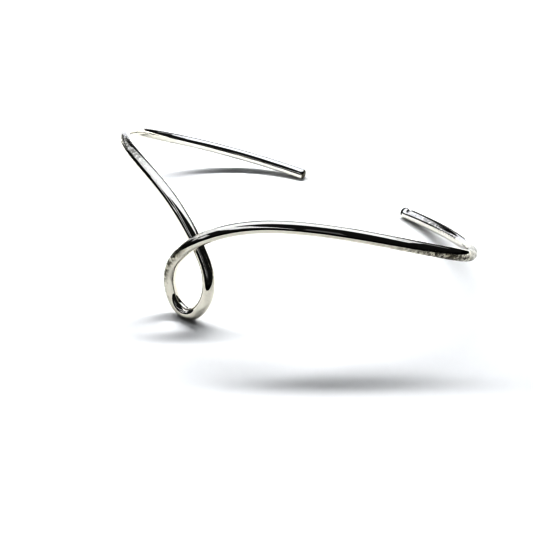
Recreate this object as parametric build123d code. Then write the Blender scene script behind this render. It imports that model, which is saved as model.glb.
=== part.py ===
from build123d import *
import os
from math import atan2, cos, degrees, radians, sin

# Wire bangle: one round wire with two plain ends, in millimetres.
# The wire comes round the wrist from its first end, passes behind itself at the front, hangs down
# in a closed loop, passes in front of itself and goes round the other side to its second end.
# X runs across the wrist, the loop is on the -Y side and the gap between the ends on the +Y side.
# The bangle is laid down as it rests on a table: on the bottom of the loop and on both ends.

WIRE = 1.8  # diameter of the wire
END_ROUND = 0.5  # rounding of the edge of each cut end
HALF_WIDTH = 30.0  # middle of the oval to the centre of the wire, across the wrist
FRONT_DEPTH = 23.1  # middle of the oval to the crossing
BACK_DEPTH = 20.2  # middle of the oval to where the back would close
END_TURN = 160.5  # degrees round the oval from the crossing to each end
NECK_DROP = 6.4  # plane of the back down to the crossing
LOOP_DROP = 11.2  # crossing down to the bottom of the loop
LOOP_HALF = 3.2  # middle of the loop to the centre of each of its limbs
LOOP_LEAN = 16.0  # degrees by which the loop leans in under the oval
LOOP_SWAY = 0.7  # how far the bottom of the loop stands to the -X side of the crossing
CLEARANCE = 0.25  # space between the two passes of the wire at the crossing

# Half of the oval from its end to the neck. Columns: degrees round the oval from the crossing,
# height above the plane of the back as a share of NECK_DROP, and shift out of the oval as a share
# of half the distance between the centres of the two passes.
ARM = [
    (END_TURN, 0.00, 0.00),
    (138, 0.04, 0.00),
    (118, 0.08, 0.00),
    (98, 0.15, 0.00),
    (80, 0.27, 0.00),
    (62, 0.35, 0.00),
    (45, 0.34, 0.04),
    (28, 0.17, 0.13),
    (14, -0.19, 0.52),
]

# One limb of the loop from the crossing down. Columns: distance down the loop as a share of
# LOOP_DROP, distance from the middle of the loop as a share of LOOP_HALF, and the same shift.
LIMB = [
    (0.00, 0.00, 1.00),
    (0.12, 0.33, 0.97),
    (0.28, 0.72, 0.82),
    (0.45, 0.95, 0.58),
    (0.63, 1.00, 0.40),
    (0.80, 0.85, 0.24),
    (0.94, 0.53, 0.10),
]


def loop_point(down, across, shift):
    """Point of the loop, from its distances down the loop, across it and out of its plane."""
    lean = radians(LOOP_LEAN)
    sway = LOOP_SWAY * down / LOOP_DROP
    return Vector(across - sway, shift + down * sin(lean) - FRONT_DEPTH, -NECK_DROP - down * cos(lean))


def strand(side):
    """Half of the wire, from its end down to the loop. The +X strand (side 1) passes in front."""
    half_pass = (WIRE + CLEARANCE) / 2
    points = []
    for turn, rise, shift in ARM:
        angle = radians(turn)
        depth = FRONT_DEPTH if turn < 90 else BACK_DEPTH
        x = side * HALF_WIDTH * sin(angle)
        y = -depth * cos(angle) - side * shift * half_pass
        points.append(Vector(x, y, NECK_DROP * rise))
    for down, across, shift in LIMB:
        points.append(loop_point(LOOP_DROP * down, -side * LOOP_HALF * across, -side * shift * half_pass))
    return points


def directions(points):
    """Direction of the wire at each point, from the circle through it and its two neighbours."""
    inner = []
    for before, here, after in zip(points, points[1:], points[2:]):
        back, ahead = here - before, after - here
        inner.append((back / back.length**2 + ahead / ahead.length**2).normalized())
    first_chord, last_chord = points[1] - points[0], points[-1] - points[-2]
    return [mirrored(inner[0], first_chord), *inner, mirrored(inner[-1], last_chord)]


def mirrored(direction, chord):
    """Direction at the far end of an arc on this chord."""
    along = chord.normalized()
    return (along * 2 * along.dot(direction) - direction).normalized()


def bend(start, start_way, finish, finish_way):
    """Two arcs that meet smoothly between two points, with the given directions at the points."""
    chord = finish - start
    ways = start_way + finish_way
    reach = chord.dot(ways)
    turn = 2 - 2 * start_way.dot(finish_way)
    leg = ((reach**2 + turn * chord.dot(chord)) ** 0.5 - reach) / turn
    middle = (start + finish + (start_way - finish_way) * leg) / 2
    return [TangentArc(start, middle, tangent=start_way), TangentArc(middle, finish, tangent=chord - ways * leg)]


first, second = strand(-1), strand(1)
bottom = loop_point(LOOP_DROP, 0, 0)
points = [*first, bottom, *reversed(second)]
ways = directions(points)
bends = []
for start, start_way, finish, finish_way in zip(points, ways, points[1:], ways[1:]):
    bends += bend(start, start_way, finish, finish_way)
path = Wire(bends)

# One round wire swept along the whole path, with the edges of its two cut ends rounded.
section = Plane(origin=points[0], z_dir=ways[0]) * Circle(WIRE / 2)
wire = sweep(section, path=path)
cut_ends = wire.faces().filter_by(GeomType.PLANE)
wire = fillet([edge for face in cut_ends for edge in face.edges()], END_ROUND)

# Laid down so that the centre of the wire is at one height in the ends and in the loop's bottom.
end = (points[0] + points[-1]) / 2
tilt = degrees(atan2(end.Z - bottom.Z, end.Y - bottom.Y))
wire = wire.rotate(Axis.X, -tilt)
box = wire.bounding_box()
wire = wire.translate(Vector(-box.center().X, -box.center().Y, -box.min.Z))

os.makedirs("parts", exist_ok=True)
wire.label = "bent_wire"
export_step(wire, "parts/bent_wire.step")
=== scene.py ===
from math import atan2, cos, exp, pi, radians, sin

import bpy
import numpy as np
from mathutils import Euler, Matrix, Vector, noise


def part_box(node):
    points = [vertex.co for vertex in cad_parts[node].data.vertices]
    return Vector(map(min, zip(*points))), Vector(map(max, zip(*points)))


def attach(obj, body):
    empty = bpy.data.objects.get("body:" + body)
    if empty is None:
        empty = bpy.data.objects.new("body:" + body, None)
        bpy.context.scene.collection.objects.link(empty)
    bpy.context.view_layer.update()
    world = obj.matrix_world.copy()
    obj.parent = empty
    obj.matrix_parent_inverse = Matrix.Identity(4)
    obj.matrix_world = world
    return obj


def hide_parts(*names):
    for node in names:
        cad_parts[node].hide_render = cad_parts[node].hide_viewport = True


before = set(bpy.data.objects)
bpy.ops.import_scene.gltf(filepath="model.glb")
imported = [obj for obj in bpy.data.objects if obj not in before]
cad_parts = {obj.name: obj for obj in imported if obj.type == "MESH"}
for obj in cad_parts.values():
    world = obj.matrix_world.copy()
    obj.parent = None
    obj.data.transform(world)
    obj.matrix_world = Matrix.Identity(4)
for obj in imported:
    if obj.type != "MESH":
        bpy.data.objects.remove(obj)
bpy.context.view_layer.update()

MM = 0.001

# The wire's line, with the sizes of its solid, in millimetres
WIRE = 1.8  # diameter of the wire
END_ROUND = 0.5  # rounding of the edge of each cut end
HALF_WIDTH = 30.0  # middle of the oval to the centre of the wire, across the wrist
FRONT_DEPTH = 23.1  # middle of the oval to the crossing
BACK_DEPTH = 20.2  # middle of the oval to where the back would close
END_TURN = 160.5  # degrees round the oval from the crossing to each end
NECK_DROP = 6.4  # plane of the back down to the crossing
LOOP_DROP = 11.2  # crossing down to the bottom of the loop
LOOP_HALF = 3.2  # middle of the loop to the centre of each of its limbs
LOOP_LEAN = 16.0  # degrees by which the loop leans in under the oval
LOOP_SWAY = 0.7  # how far the bottom of the loop stands to the -X side of the crossing
CLEARANCE = 0.25  # space between the two passes of the wire at the crossing

# Half of the oval from its end to the neck. Columns: degrees round the oval from the crossing,
# height above the plane of the back as a share of NECK_DROP, and shift out of the oval as a share
# of half the distance between the centres of the two passes.
ARM = [
    (END_TURN, 0.00, 0.00),
    (138, 0.04, 0.00),
    (118, 0.08, 0.00),
    (98, 0.15, 0.00),
    (80, 0.27, 0.00),
    (62, 0.35, 0.00),
    (45, 0.34, 0.04),
    (28, 0.17, 0.13),
    (14, -0.19, 0.52),
]

# One limb of the loop from the crossing down. Columns: distance down the loop as a share of
# LOOP_DROP, distance from the middle of the loop as a share of LOOP_HALF, and the same shift.
LIMB = [
    (0.00, 0.00, 1.00),
    (0.12, 0.33, 0.97),
    (0.28, 0.72, 0.82),
    (0.45, 0.95, 0.58),
    (0.63, 1.00, 0.40),
    (0.80, 0.85, 0.24),
    (0.94, 0.53, 0.10),
]

# How the wire's surface is divided
RINGS_APART = 0.14  # along the wire, in millimetres
SIDES = 48  # points round the wire
RIM_STEPS = 6  # rings over the rounded edge of a cut end
FLAT_RINGS = (0.02, 0.35, 0.7)  # rings on the flat of a cut end, as shares of its radius

# How uneven the surface is, in millimetres
LUMPS_APART = 5.0  # slow unevenness from bending by hand
FLATS_APART = 1.3  # small flats, deeper where the wire was gripped
DENTS_APART = 0.34  # dents, only where it was gripped
UNEVEN = 0.004  # height of the lumps and of the flats
FLATS_EVERYWHERE = 0.3  # share of the flats that is there where nothing gripped the wire
DENT_DEPTH = 0.035
DENTS_FROM = 0.10  # how high the noise is before it leaves a dent

# Where in the noise the flats and the dents are read, so that they don't repeat the lumps
FLATS_START = Vector((7, 3, 5))
DENTS_START = Vector((2, 9, 4))

# Where the wire was gripped to bend it, and so is less smooth. Columns: distance along the wire
# from its first end, how far the marks reach along it, how strong they are, and the way that the
# marked side faces (to the camera's right, towards the camera and up).
GRIPPED = [
    (51, 5.0, 0.75, (-0.3, 0.5, 0.8)),
    (77, 2.5, 0.50, (0.1, 0.9, 0.5)),
    (97, 5.0, 1.15, (-1.0, -0.25, 0.2)),
    (143, 9.0, 1.30, (-0.1, 0.85, -0.5)),
    (150, 3.5, 0.70, (0.7, 0.1, 0.7)),
    (165, 6.0, 0.40, (-0.1, -0.1, 1.0)),
]

# The nick near the second end, and the blackened places there. The columns are the same, but the
# distance is from the second end, and the strength of the nick is its depth in millimetres.
NICK = (1.25, 0.35, 0.22, (0.4, -0.45, 0.8))
BLACKENED = [
    (0.05, 0.35, 1.6, (-0.6, -0.3, 0.75)),
    (1.30, 0.25, 1.6, (0.5, -0.5, 0.7)),
]
MARK_BESIDE = 0.1  # share of a mark on the sides square to the way that it faces
MARK_FACING = 1.3  # what comes to that share on the side that faces that way
END_WEAR = 6  # how fast a cut end gets dull, from its edge in

# How fine the patterns are, in steps of noise a metre
CLOUDS = 420.0
MOTTLE = 1500.0
SPECKS = 3400.0
PAPER_CLOUDS = 30.0

# The lines that drawing left on the wire: steps of noise in its radius, two ways across it, and in
# a millimetre along it
DRAWN_LINES = (9, 9, 0.12)
FINE_RELIEF = 0.02  # height of the finest marks, in millimetres

# Towards the back the silver is painted paler, a painted brighter reflection of the table there,
# between these distances behind the middle, in millimetres
PALER_BACK_FROM = 3
PALEST_BACK_FROM = 12

# The camera, and directions over the table as it sees them. Lengths are in millimetres.
CAMERA_AT = Vector((90.36, -121.19, 103.06))
CAMERA_TURN = radians(37.33)
CAMERA_DOWN = radians(34.92)
CAMERA_LENS = 78.06
FILM_WIDTH = 36
NEAREST_SEEN = 10
FARTHEST_SEEN = 20000
TO_CAMERA = Vector((sin(CAMERA_TURN), -cos(CAMERA_TURN), 0))
TO_RIGHT = Vector((cos(CAMERA_TURN), sin(CAMERA_TURN), 0))
UP = Vector((0, 0, 1))

# The table, in millimetres. Its paper glows, painted light that keeps the table white where the lamp
# falls off, but not round the bangle: the glow starts some way from a point that is a little nearer
# the camera than the middle of the table.
TABLE_RADIUS = 350
GLOW_NEARER = 11  # how much nearer the camera that point is
GLOW_START = 26  # how far from it the light starts, towards the camera and away from it
GLOW_FULL = 75  # how far from it the light is as bright as it gets
GLOW_WIDER = 1.6  # how many times as far both are to the left and right
GLOW_BRIGHT = 1.2

# The lamp, a long one over the back of the table. Its place and what it points at are given to the
# camera's right, towards the camera and up, in millimetres.
LAMP_AT = (-18, -38, 107)
LAMP_AIM = (-18, 80, 0)
LAMP_LONG = 242
LAMP_WIDE = 12
LAMP_BRIGHT = 39

# Black card on the table, for the silver to mirror. Its inner edge is this far from the middle of
# the table on each side, in millimetres. It has an opening at the back, mostly on the left.
BLACK_RIGHT = 70
BLACK_LEFT = 60
BLACK_TOWARD = 55
BLACK_AWAY = 85
BLACK_REACH = 400  # how far out its outer edge is
BLACK_HEIGHT = 0.05
BLACK_ENDS = (radians(-125), radians(153))  # turned from the way to the camera, left and right
BLACK_STEPS = 72

# The bright level board overhead that the silver mirrors, in millimetres
ABOVE_BRIGHT = 1.35
ABOVE_LEFT = -327
ABOVE_RIGHT = 232
ABOVE_AWAY = -346
ABOVE_TOWARD = 28
ABOVE_HEIGHT = 191
COOL = (0.97, 1.0, 1.09)  # colour of the light on all the boards

# Upright boards round the table that the silver mirrors. Columns: name, how bright it is, and its
# posts. A post has its foot (to the camera's right and towards the camera), and the height of the
# board's lowest and highest edge there, in millimetres.
BOARDS = [
    ("left_wall", 1.2, [
        (-190, -185, 55, 260),
        (-190, -45, 72, 260),
        (-190, 20, 105, 250),
        (-190, 45, 180, 250),
        (-190, 150, 165, 245),
        (-190, 200, 145, 215),
        (-190, 300, 95, 170),
        (-190, 500, 60, 110),
    ]),
    ("left_strip", 1.05, [
        (-191, -10, 62, 92),
        (-191, 20, 52, 88),
        (-191, 45, 45, 80),
        (-191, 63, 72, 122),
        (-191, 96, 48, 100),
        (-191, 150, 40, 85),
    ]),
    ("right_wall", 1.15, [
        (165, -265, 160, 200),
        (165, -110, 112, 200),
        (165, -50, 125, 200),
        (165, 0, 160, 200),
    ]),
    ("back_edge", 1.35, [(-60, -116, 0, 29), (33, -116, 0, 29)]),
    ("dark_strip", 0, [(-70, -117, 44, 72), (0, -117, 32, 56), (38, -117, 22, 40)]),
    ("back_left", 1.15, [(-265, -185, 30, 174), (-62, -185, 30, 174)]),
    ("far_wall", 0.54, [(-760, -400, 112, 1500), (500, -400, 112, 1500)]),
    ("camera_side", 0.31, [(-120, 425, 69, 270), (36, 425, 69, 270)]),
]

# The room: what lights the table, what the silver mirrors past the boards, and what the camera
# sees past the table
ROOM_LIGHT = (0.122, 0.126, 0.131, 1)
ROOM_MIRRORED = (0.048, 0.050, 0.052, 1)
ROOM_SEEN = (1, 1, 1, 1)
PRINT_GAMMA = 0.55  # under 1, for the hard contrast of the photograph


def over_table(right, toward, height):
    """A point over the table: to the camera's right, towards the camera and up."""
    return TO_RIGHT * right + TO_CAMERA * toward + UP * height


# How a finish is put together


class Shade:
    """A socket of a node. Sums on it add the nodes that work them out."""

    def __init__(self, finish, socket):
        self.finish = finish
        self.socket = socket

    def worked(self, operation, first, second):
        """A new node that works out one sum of two values."""
        return self.finish.node("ShaderNodeMath", {"operation": operation}, {0: first, 1: second})

    def __add__(self, other):
        return self.worked("ADD", self, other)

    def __radd__(self, other):
        return self.worked("ADD", other, self)

    def __sub__(self, other):
        return self.worked("SUBTRACT", self, other)

    def __rsub__(self, other):
        return self.worked("SUBTRACT", other, self)

    def __mul__(self, other):
        return self.worked("MULTIPLY", self, other)

    def __rmul__(self, other):
        return self.worked("MULTIPLY", other, self)


class Finish:
    """The nodes of one material, or of the world."""

    def __init__(self, owner):
        self.owner = owner
        owner.use_nodes = True
        self.nodes = owner.node_tree.nodes
        self.links = owner.node_tree.links
        self.nodes.clear()

    def node(self, kind, settings, sockets, output=0):
        """A new node with its settings and the values or links of its sockets."""
        made = self.nodes.new(kind)
        for name, value in settings.items():
            setattr(made, name, value)
        for name, value in sockets.items():
            if isinstance(value, Shade):
                self.links.new(value.socket, made.inputs[name])
            else:
                made.inputs[name].default_value = value
        return Shade(self, made.outputs[output]) if made.outputs else None

    def eased(self, value, low, high):
        """0 below low, 1 above high and smooth between."""
        settings = {"interpolation_type": "SMOOTHSTEP"}
        sockets = {"Value": value, "From Min": low, "From Max": high}
        return self.node("ShaderNodeMapRange", settings, sockets)

    def noise(self, place, scale, detail=2.0):
        """Smooth noise, about 0.5 in its middle."""
        sockets = {"Vector": place, "Scale": scale, "Detail": detail}
        return self.node("ShaderNodeTexNoise", {}, sockets)

    def held(self, name, output="Fac"):
        """What the mesh holds under this name at each point."""
        return self.node("ShaderNodeAttribute", {"attribute_name": name}, {}, output)

    def blended(self, share, first, second):
        """Mix of two colours. They go in at the node's sockets 6 and 7 and come out at its 2."""
        settings = {"data_type": "RGBA"}
        return self.node("ShaderNodeMix", settings, {0: share, 6: first, 7: second}, output=2)


# The line of the wire


def loop_point(down, across, shift):
    """Point of the loop, from its distances down the loop, across it and out of its plane."""
    lean = radians(LOOP_LEAN)
    sway = LOOP_SWAY * down / LOOP_DROP
    return Vector((across - sway, shift + down * sin(lean) - FRONT_DEPTH, -NECK_DROP - down * cos(lean)))


def strand(side):
    """Half of the wire, from its end down to the loop. The +X strand (side 1) passes in front."""
    half_pass = (WIRE + CLEARANCE) / 2
    points = []
    for turn, rise, shift in ARM:
        angle = radians(turn)
        depth = FRONT_DEPTH if turn < 90 else BACK_DEPTH
        x = side * HALF_WIDTH * sin(angle)
        y = -depth * cos(angle) - side * shift * half_pass
        points.append(Vector((x, y, NECK_DROP * rise)))
    for down, across, shift in LIMB:
        points.append(loop_point(LOOP_DROP * down, -side * LOOP_HALF * across, -side * shift * half_pass))
    return points


def laid_down(points, bottom):
    """The points turned about X until the ends and the bottom of the loop are at one height."""
    end = (points[0] + points[-1]) / 2
    tilt = atan2(end.z - bottom.z, end.y - bottom.y)
    turn = Euler((-tilt, 0, 0)).to_matrix()
    return np.array([turn @ point for point in points])


def smooth_line(points):
    """Even steps along the smooth line through the points, and the way that it goes at each step.

    The line bends evenly from point to point, and as much at its first and last point as at the
    ones beside them.
    """
    spans = np.linalg.norm(np.diff(points, axis=0), axis=1)
    knots = np.concatenate([[0], np.cumsum(spans)])
    count = len(points)
    rows = np.eye(count)
    sides = np.zeros((count, 3))
    rows[0, 1] = -1
    rows[-1, -2] = -1
    for i in range(1, count - 1):
        before, after = spans[i - 1], spans[i]
        rows[i, i - 1:i + 2] = before, 2 * (before + after), after
        slope_after = (points[i + 1] - points[i]) / after
        slope_before = (points[i] - points[i - 1]) / before
        sides[i] = 6 * (slope_after - slope_before)
    bends = np.linalg.solve(rows, sides)
    steps = np.linspace(0, knots[-1], round(knots[-1] / RINGS_APART) + 1)
    span = np.clip(np.searchsorted(knots, steps, side="right") - 1, 0, count - 2)
    width = spans[span][:, None]
    ahead = (steps - knots[span])[:, None] / width
    behind = 1 - ahead
    start, finish = points[span], points[span + 1]
    start_bend, finish_bend = bends[span], bends[span + 1]
    line = behind * start + ahead * finish
    line += width**2 / 6 * ((behind**3 - behind) * start_bend + (ahead**3 - ahead) * finish_bend)
    ways = (finish - start) / width
    ways += width / 6 * ((3 * ahead**2 - 1) * finish_bend - (3 * behind**2 - 1) * start_bend)
    return line, ways / np.linalg.norm(ways, axis=1)[:, None]


def carried_across(ways):
    """A direction across the wire at each step that turns as little as it can from step to step."""
    across = [np.cross(ways[0], UP)]
    for way in ways[1:]:
        last = across[-1]
        across.append(last - way * (last @ way))
    across = np.array(across)
    return across / np.linalg.norm(across, axis=1)[:, None]


# The skin of the wire


def mark(along, outward, row):
    """How strong one mark is at a distance along the wire, on each of the wire's sides."""
    middle, reach, strength, facing = row
    sides = np.clip(MARK_BESIDE + MARK_FACING * (outward @ np.array(over_table(*facing))), 0, 1)
    return strength * exp(-(((along - middle) / reach) ** 2)) * sides


def handled(place, worn):
    """How far the surface stands in or out of a true round, in millimetres."""
    lumps = noise.noise(place / LUMPS_APART)
    flats = noise.noise(place / FLATS_APART + FLATS_START) * (FLATS_EVERYWHERE + worn)
    dents = max(0.0, noise.noise(place / DENTS_APART + DENTS_START) - DENTS_FROM) * worn
    return UNEVEN * (lumps + flats) - DENT_DEPTH * dents


class Skin:
    """The points of the wire's skin ring by ring, and what the silver needs to know at each."""

    def __init__(self, line, ways):
        self.line = line
        self.ways = ways
        self.across = carried_across(ways)
        self.upright = np.cross(ways, self.across)
        self.along = np.concatenate([[0], np.cumsum(np.linalg.norm(np.diff(line, axis=0), axis=1))])
        self.points = []
        self.grain = []
        self.worn = []
        self.blackened = []

    def add_ring(self, step, radius, forward=0.0):
        """A ring of points with this radius round one step of the line, moved forward along it."""
        turns = np.arange(SIDES) * 2 * pi / SIDES
        outward = np.outer(np.cos(turns), self.across[step]) + np.outer(np.sin(turns), self.upright[step])
        middle = self.line[step] + self.ways[step] * forward
        along = self.along[step]
        to_end = self.along[-1] - along
        share = radius / (WIRE / 2)
        gripped = np.max([mark(along, outward, row) for row in GRIPPED], axis=0)
        worn = np.maximum(gripped, END_WEAR * (1 - share))
        nick = mark(to_end, outward, NICK)
        self.blackened.extend(np.max([mark(to_end, outward, row) for row in BLACKENED], axis=0))
        self.worn.extend(np.minimum(worn, 1.0))
        for turn, out, wear, cut in zip(turns, outward, worn, nick):
            place = Vector(middle + out * radius)
            self.points.append(place + Vector(out) * (handled(place, wear) - cut) * share)
            self.grain.append((share * cos(turn), share * sin(turn), along + forward))


def wire_skin():
    """The rings of the whole wire, from the middle of one cut end to the middle of the other."""
    first, second = strand(-1), strand(1)
    bottom = loop_point(LOOP_DROP, 0, 0)
    skin = Skin(*smooth_line(laid_down([*first, bottom, *reversed(second)], bottom)))
    last = len(skin.line) - 1
    rounded = round(END_ROUND / RINGS_APART) + 1
    flat = WIRE / 2 - END_ROUND
    rim = [pi / 2 * step / RIM_STEPS for step in range(RIM_STEPS + 1)]
    for share in FLAT_RINGS:
        skin.add_ring(0, flat * share)
    for angle in rim:
        skin.add_ring(0, flat + END_ROUND * sin(angle), END_ROUND * (1 - cos(angle)))
    for step in range(rounded, last - rounded + 1):
        skin.add_ring(step, WIRE / 2)
    for angle in reversed(rim):
        skin.add_ring(last, flat + END_ROUND * sin(angle), -END_ROUND * (1 - cos(angle)))
    for share in reversed(FLAT_RINGS):
        skin.add_ring(last, flat * share)
    return skin


def skin_faces(rings):
    """The faces between this many rings, and the two that close the cut ends."""
    faces = []
    for ring in range(rings - 1):
        here, ahead = ring * SIDES, (ring + 1) * SIDES
        for side in range(SIDES):
            beside = (side + 1) % SIDES
            faces.append((here + side, here + beside, ahead + beside, ahead + side))
    faces.append(tuple(reversed(range(SIDES))))
    faces.append(tuple((rings - 1) * SIDES + side for side in range(SIDES)))
    return faces


def seated(points):
    """The points where the solid stands, in metres."""
    low, high = points.min(0), points.max(0)
    solid_low, solid_high = (np.array(corner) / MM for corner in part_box("bent_wire"))
    shift = (solid_low + solid_high) / 2 - (low + high) / 2
    shift[2] = solid_low[2] - low[2]
    return (points + shift) * MM


def wire_mesh():
    """The wire as one closed skin."""
    skin = wire_skin()
    mesh = bpy.data.meshes.new("silver_wire")
    mesh.from_pydata(seated(np.array(skin.points)).tolist(), [], skin_faces(len(skin.points) // SIDES))
    grain = mesh.attributes.new("grain", "FLOAT_VECTOR", "POINT")
    grain.data.foreach_set("vector", np.array(skin.grain, np.float32).ravel())
    for name, values in (("worn", skin.worn), ("blackened", skin.blackened)):
        shares = mesh.attributes.new(name, "FLOAT", "POINT")
        shares.data.foreach_set("value", np.array(values, np.float32))
    mesh.shade_smooth()
    mesh.update()
    return mesh


# The finishes


def polished_silver():
    """Bright silver with fine drawn lines and specks, dull where gripped, and paler at the back as a
    painted reflection.
    """
    silver = Finish(bpy.data.materials.new("polished_silver"))
    place = silver.node("ShaderNodeTexCoord", {}, {}, output="Object")
    back = silver.node("ShaderNodeSeparateXYZ", {}, {"Vector": place}, output="Y")
    worn = silver.held("worn")
    stretched = {0: silver.held("grain", "Vector"), 1: DRAWN_LINES}
    along = silver.node("ShaderNodeVectorMath", {"operation": "MULTIPLY"}, stretched)

    lines = silver.noise(along, 1.0, detail=3.0)
    cloud = silver.noise(place, CLOUDS, detail=3.0)
    mottle = silver.noise(place, MOTTLE)
    specks = silver.noise(place, SPECKS, detail=1.0)
    back_reflection_share = silver.eased(back, low=PALER_BACK_FROM * MM, high=PALEST_BACK_FROM * MM)
    patches = silver.eased(cloud, low=0.27, high=0.48) * worn
    smears = silver.eased(cloud, low=0.42, high=0.58) * silver.eased(worn, low=0.55, high=1.0)
    tarnish = silver.eased(mottle, low=0.39, high=0.53) * patches
    pits = silver.eased(specks + 0.10 * worn, low=0.66, high=0.76) * (0.10 + 0.90 * worn)
    soot = silver.eased(silver.held("blackened") + 0.5 * mottle, low=0.65, high=1.05)

    bright = (0.77, 0.75, 0.685, 1)
    back_reflection_colour = (0.815, 0.80, 0.755, 1)
    warm = (0.62, 0.60, 0.525, 1)
    olive = (0.33, 0.31, 0.235, 1)
    brown = (0.10, 0.094, 0.070, 1)
    dark = (0.03, 0.027, 0.022, 1)
    black = (0.02, 0.018, 0.016, 1)
    # Painted reflection: the silver is paler towards the back, where it mirrors brighter table
    colour = silver.blended(back_reflection_share, bright, back_reflection_colour)
    colour = silver.blended(patches * 0.8, colour, warm)
    colour = silver.blended(smears * 0.8, colour, olive)
    colour = silver.blended(tarnish * 0.8, colour, brown)
    colour = silver.blended(pits * 0.9, colour, dark)
    colour = silver.blended(soot * 0.9, colour, black)

    height = 0.12 * lines + worn * (0.7 * mottle + 0.3 * specks)
    relief = {"Height": height, "Strength": 1.0, "Distance": FINE_RELIEF * MM}
    sockets = {
        "Base Color": colour,
        "Metallic": 1.0,
        "Roughness": 0.04 + 0.03 * lines + 0.08 * patches + 0.15 * tarnish + 0.3 * pits,
        "Specular Tint": (0.92, 0.92, 0.92, 1),
        "Normal": silver.node("ShaderNodeBump", {}, relief),
    }
    shader = silver.node("ShaderNodeBsdfPrincipled", {}, sockets)
    silver.node("ShaderNodeOutputMaterial", {}, {"Surface": shader})
    return silver.owner


def paper_with_painted_glow():
    """Plain white paper that glows some way from the bangle: painted light that keeps the table white."""
    paper = Finish(bpy.data.materials.new("paper_with_painted_glow"))
    place = paper.node("ShaderNodeTexCoord", {}, {}, output="Object")
    dot = {"operation": "DOT_PRODUCT"}
    right = paper.node("ShaderNodeVectorMath", dot, {0: place, 1: TO_RIGHT / GLOW_WIDER}, "Value")
    toward = paper.node("ShaderNodeVectorMath", dot, {0: place, 1: TO_CAMERA}, "Value") - GLOW_NEARER * MM
    away_squared = right * right + toward * toward
    # Painted light: the paper glows more the farther it is from that point
    lit = paper.eased(away_squared, low=(GLOW_START * MM) ** 2, high=(GLOW_FULL * MM) ** 2)

    greyer = (0.838, 0.846, 0.856, 1)
    whiter = (0.868, 0.876, 0.886, 1)
    no_light = (0, 0, 0, 1)
    light = (0.98, 1.0, 1.03, 1)
    sockets = {
        "Base Color": paper.blended(paper.noise(place, PAPER_CLOUDS), greyer, whiter),
        "Roughness": 0.9,
        "Specular IOR Level": 0.0,
        "Emission Color": paper.blended(lit, no_light, light),
        "Emission Strength": GLOW_BRIGHT,
    }
    shader = paper.node("ShaderNodeBsdfPrincipled", {}, sockets)
    paper.node("ShaderNodeOutputMaterial", {}, {"Surface": shader})
    return paper.owner


def card_face(name, brightness):
    """Bright card as the silver mirrors it, or black card where the brightness is 0."""
    card = Finish(bpy.data.materials.new(name))
    shader = card.node("ShaderNodeEmission", {}, {"Color": (*COOL, 1), "Strength": brightness})
    card.node("ShaderNodeOutputMaterial", {}, {"Surface": shader})
    return card.owner


# The table, the light and what the silver mirrors


def shown(name, mesh, material):
    """A new object for this mesh and its finish, in the scene."""
    piece = bpy.data.objects.new(name, mesh)
    mesh.materials.append(material)
    bpy.context.scene.collection.objects.link(piece)
    return piece


def table(sides=96):
    """A round level table top."""
    turns = [2 * pi * side / sides for side in range(sides)]
    rim = [Vector((cos(turn), sin(turn), 0)) * TABLE_RADIUS * MM for turn in turns]
    mesh = bpy.data.meshes.new("table_top")
    mesh.from_pydata(rim, [], [tuple(range(sides))])
    shown("table_top", mesh, paper_with_painted_glow())


def lamp():
    """The one lamp, long and narrow, with its long side level. The silver doesn't mirror it."""
    middle, aim = over_table(*LAMP_AT), over_table(*LAMP_AIM)
    light = bpy.data.lights.new("lamp", "AREA")
    light.shape = "RECTANGLE"
    light.size = LAMP_LONG * MM
    light.size_y = LAMP_WIDE * MM
    light.energy = LAMP_BRIGHT * pi * light.size * light.size_y
    stand = bpy.data.objects.new("lamp", light)
    stand.location = middle * MM
    stand.rotation_euler = (middle - aim).to_track_quat("Z", "Y").to_euler()
    stand.visible_camera = False
    stand.visible_glossy = False
    bpy.context.scene.collection.objects.link(stand)


def board(name, first, second, brightness):
    """A strip of faces between two rows of points over the table. Only the silver sees it."""
    mesh = bpy.data.meshes.new(name)
    count = len(first)
    points = [over_table(*point) * MM for point in [*first, *second]]
    mesh.from_pydata(points, [], [(i, i + 1, count + i + 1, count + i) for i in range(count - 1)])
    card = shown(name, mesh, card_face(name, brightness))
    card.visible_camera = False
    card.visible_diffuse = False
    card.visible_shadow = False


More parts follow.
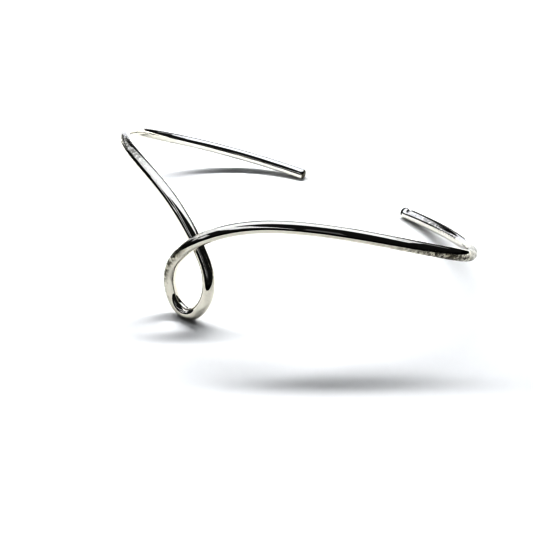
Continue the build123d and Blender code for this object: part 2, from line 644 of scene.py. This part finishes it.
def black_ring():
    """Black card on the table, from where the silver sees the white of it end."""
    inner, outer = [], []
    for turn in np.linspace(*BLACK_ENDS, BLACK_STEPS):
        right, toward = sin(turn), cos(turn)
        wide = BLACK_RIGHT if right > 0 else BLACK_LEFT
        deep = BLACK_TOWARD if toward > 0 else BLACK_AWAY
        inner.append((right * wide, toward * deep, BLACK_HEIGHT))
        outer.append((right * BLACK_REACH, toward * BLACK_REACH, BLACK_HEIGHT))
    board("black_ring", inner, outer, 0)


def mirrored_boards():
    """The upright boards round the table and the level one overhead."""
    for name, brightness, posts in BOARDS:
        feet = [(right, toward, low) for right, toward, low, high in posts]
        tops = [(right, toward, high) for right, toward, low, high in posts]
        board(name, feet, tops, brightness)
    left = [(ABOVE_LEFT, toward, ABOVE_HEIGHT) for toward in (ABOVE_AWAY, ABOVE_TOWARD)]
    right = [(ABOVE_RIGHT, toward, ABOVE_HEIGHT) for toward in (ABOVE_AWAY, ABOVE_TOWARD)]
    board("above", left, right, ABOVE_BRIGHT)


def room():
    """A dim room, darker for the silver and white where the camera looks past the table."""
    world = bpy.data.worlds.new("room")
    bpy.context.scene.world = world
    air = Finish(world)
    seen = air.node("ShaderNodeLightPath", {}, {}, output="Is Camera Ray")
    mirrored = air.node("ShaderNodeLightPath", {}, {}, output="Is Glossy Ray")
    colour = air.blended(mirrored, ROOM_LIGHT, ROOM_MIRRORED)
    colour = air.blended(seen, colour, ROOM_SEEN)
    shader = air.node("ShaderNodeBackground", {}, {"Color": colour, "Strength": 1.0})
    air.node("ShaderNodeOutputWorld", {}, {"Surface": shader})


def camera():
    """The camera, as it stood for the photograph."""
    lens = bpy.data.cameras.new("camera")
    lens.lens = CAMERA_LENS
    lens.sensor_width = FILM_WIDTH
    lens.clip_start = NEAREST_SEEN * MM
    lens.clip_end = FARTHEST_SEEN * MM
    stand = bpy.data.objects.new("camera", lens)
    stand.location = CAMERA_AT * MM
    stand.rotation_euler = (pi / 2 - CAMERA_DOWN, 0, CAMERA_TURN)
    bpy.context.scene.collection.objects.link(stand)
    bpy.context.scene.camera = stand


wire = shown("silver_wire", wire_mesh(), polished_silver())
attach(wire, "root")
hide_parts("bent_wire")

table()
lamp()
black_ring()
mirrored_boards()
room()
camera()
bpy.context.scene.view_settings.view_transform = "Standard"
bpy.context.scene.view_settings.gamma = PRINT_GAMMA
